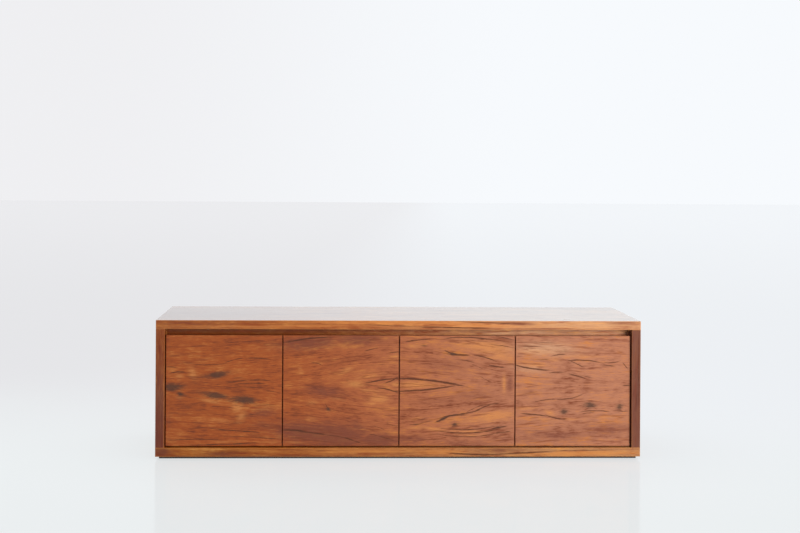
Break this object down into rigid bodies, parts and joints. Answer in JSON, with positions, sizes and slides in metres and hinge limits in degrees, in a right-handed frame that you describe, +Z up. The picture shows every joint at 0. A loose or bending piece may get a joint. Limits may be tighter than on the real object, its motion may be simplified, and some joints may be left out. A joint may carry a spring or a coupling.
{
  "type": "office credenza",
  "caption": "Low veneered office credenza: flush inset doors on concealed cup hinges, a finger gap under the top, shelves inside and a recessed plinth.",
  "frame": {"origin": "centre of the base, on the floor", "axes": "+X along the width to the right as seen from the doors, +Y from the doors to the back, +Z up"},
  "size_m": [2.1, 0.48, 0.6],
  "materials": {
    "veneer": "satin lacquered veneer, red-brown",
    "door_veneer": "satin lacquered figured veneer, red-brown",
    "plinth_black": "dark stained",
    "beech": "raw",
    "nickel": "nickel plated",
    "zinc": "zinc plated",
    "brown_plastic": "dark brown",
    "nylon": "off-white",
    "clear_rubber": "translucent"
  },
  "bodies": {
    "carcass": {"back_panel_left": "veneer", "back_panel_right": "veneer", "bottom_panel": "veneer", "carcass_dowels": "beech", "catch_pole_plates": "zinc", "catch_screws": "zinc", "centre_partition": "veneer", "door_bumpers": "clear_rubber", "door_stop_blocks": "veneer", "floor_glides": "nylon", "front_rail": "veneer", "hinge_arm_screws": "zinc", "hinge_arms_left_inner": "nickel", "hinge_arms_left_outer": "nickel", "hinge_arms_right_inner": "nickel", "hinge_arms_right_outer": "nickel", "hinge_mounting_plates": "nickel", "hinge_plate_screws": "zinc", "left_side_panel": "veneer", "magnetic_catches": "brown_plastic", "plinth_back_rail": "plinth_black", "plinth_cross_rails": "plinth_black", "plinth_front_rail": "plinth_black", "plinth_left_rail": "plinth_black", "plinth_right_rail": "plinth_black", "plinth_screws": "zinc", "right_side_panel": "veneer", "shelf_left": "veneer", "shelf_right": "veneer", "shelf_supports": "zinc", "top_panel": "veneer"},
    "outer_links_left_outer": {"outer_links_left_outer": "nickel"},
    "inner_links_left_outer": {"inner_links_left_outer": "nickel"},
    "door_left_outer": {"cup_pins_left_outer": "zinc", "cup_screws_left_outer": "zinc", "door_left_outer": "door_veneer", "hinge_cups_left_outer": "nickel", "strike_plate_left_outer": "zinc"},
    "outer_links_left_inner": {"outer_links_left_inner": "nickel"},
    "inner_links_left_inner": {"inner_links_left_inner": "nickel"},
    "door_left_inner": {"cup_pins_left_inner": "zinc", "cup_screws_left_inner": "zinc", "door_left_inner": "door_veneer", "hinge_cups_left_inner": "nickel", "strike_plate_left_inner": "zinc"},
    "outer_links_right_inner": {"outer_links_right_inner": "nickel"},
    "inner_links_right_inner": {"inner_links_right_inner": "nickel"},
    "door_right_inner": {"cup_pins_right_inner": "zinc", "cup_screws_right_inner": "zinc", "door_right_inner": "door_veneer", "hinge_cups_right_inner": "nickel", "strike_plate_right_inner": "zinc"},
    "outer_links_right_outer": {"outer_links_right_outer": "nickel"},
    "inner_links_right_outer": {"inner_links_right_outer": "nickel"},
    "door_right_outer": {"cup_pins_right_outer": "zinc", "cup_screws_right_outer": "zinc", "door_right_outer": "door_veneer", "hinge_cups_right_outer": "nickel", "strike_plate_right_outer": "zinc"}
  },
  "joints": [
    {"name": "outer_link_left_outer_turn", "type": "hinge", "parent": "carcass", "child": "outer_links_left_outer", "pos_m": [-0.97925, -0.1852, 0.294], "axis": [0, 0, -1], "range_deg": [-31.73, 0]},
    {"name": "door_left_outer_swing", "type": "hinge", "parent": "outer_links_left_outer", "child": "door_left_outer", "pos_m": [-0.9974, -0.2101, 0.294], "axis": [0, 0, -1], "range_deg": [0, 121.68]},
    {"name": "inner_link_left_outer_turn", "type": "hinge", "parent": "door_left_outer", "child": "inner_links_left_outer", "pos_m": [-0.993, -0.2132, 0.294], "axis": [0, 0, -1], "range_deg": [-112.82, 0]},
    {"name": "outer_link_left_inner_turn", "type": "hinge", "parent": "carcass", "child": "outer_links_left_inner", "pos_m": [-0.03075, -0.1852, 0.294], "axis": [0, 0, 1], "range_deg": [-31.73, 0]},
    {"name": "door_left_inner_swing", "type": "hinge", "parent": "outer_links_left_inner", "child": "door_left_inner", "pos_m": [-0.0126, -0.2101, 0.294], "axis": [0, 0, 1], "range_deg": [0, 121.68]},
    {"name": "inner_link_left_inner_turn", "type": "hinge", "parent": "door_left_inner", "child": "inner_links_left_inner", "pos_m": [-0.017, -0.2132, 0.294], "axis": [0, 0, 1], "range_deg": [-112.82, 0]},
    {"name": "outer_link_right_inner_turn", "type": "hinge", "parent": "carcass", "child": "outer_links_right_inner", "pos_m": [0.03075, -0.1852, 0.294], "axis": [0, 0, -1], "range_deg": [-31.73, 0]},
    {"name": "door_right_inner_swing", "type": "hinge", "parent": "outer_links_right_inner", "child": "door_right_inner", "pos_m": [0.0126, -0.2101, 0.294], "axis": [0, 0, -1], "range_deg": [0, 121.68]},
    {"name": "inner_link_right_inner_turn", "type": "hinge", "parent": "door_right_inner", "child": "inner_links_right_inner", "pos_m": [0.017, -0.2132, 0.294], "axis": [0, 0, -1], "range_deg": [-112.82, 0]},
    {"name": "outer_link_right_outer_turn", "type": "hinge", "parent": "carcass", "child": "outer_links_right_outer", "pos_m": [0.97925, -0.1852, 0.294], "axis": [0, 0, 1], "range_deg": [-31.73, 0]},
    {"name": "door_right_outer_swing", "type": "hinge", "parent": "outer_links_right_outer", "child": "door_right_outer", "pos_m": [0.9974, -0.2101, 0.294], "axis": [0, 0, 1], "range_deg": [0, 121.68]},
    {"name": "inner_link_right_outer_turn", "type": "hinge", "parent": "door_right_outer", "child": "inner_links_right_outer", "pos_m": [0.993, -0.2132, 0.294], "axis": [0, 0, 1], "range_deg": [-112.82, 0]}
  ],
  "couplings": [
    {"joint": "outer_link_left_outer_turn", "follows": "door_left_outer_swing", "ratio": -0.26036},
    {"joint": "inner_link_left_outer_turn", "follows": "door_left_outer_swing", "ratio": -0.92678},
    {"joint": "outer_link_left_inner_turn", "follows": "door_left_inner_swing", "ratio": -0.26036},
    {"joint": "inner_link_left_inner_turn", "follows": "door_left_inner_swing", "ratio": -0.92678},
    {"joint": "outer_link_right_inner_turn", "follows": "door_right_inner_swing", "ratio": -0.26036},
    {"joint": "inner_link_right_inner_turn", "follows": "door_right_inner_swing", "ratio": -0.92678},
    {"joint": "outer_link_right_outer_turn", "follows": "door_right_outer_swing", "ratio": -0.26036},
    {"joint": "inner_link_right_outer_turn", "follows": "door_right_outer_swing", "ratio": -0.92678}
  ]
}
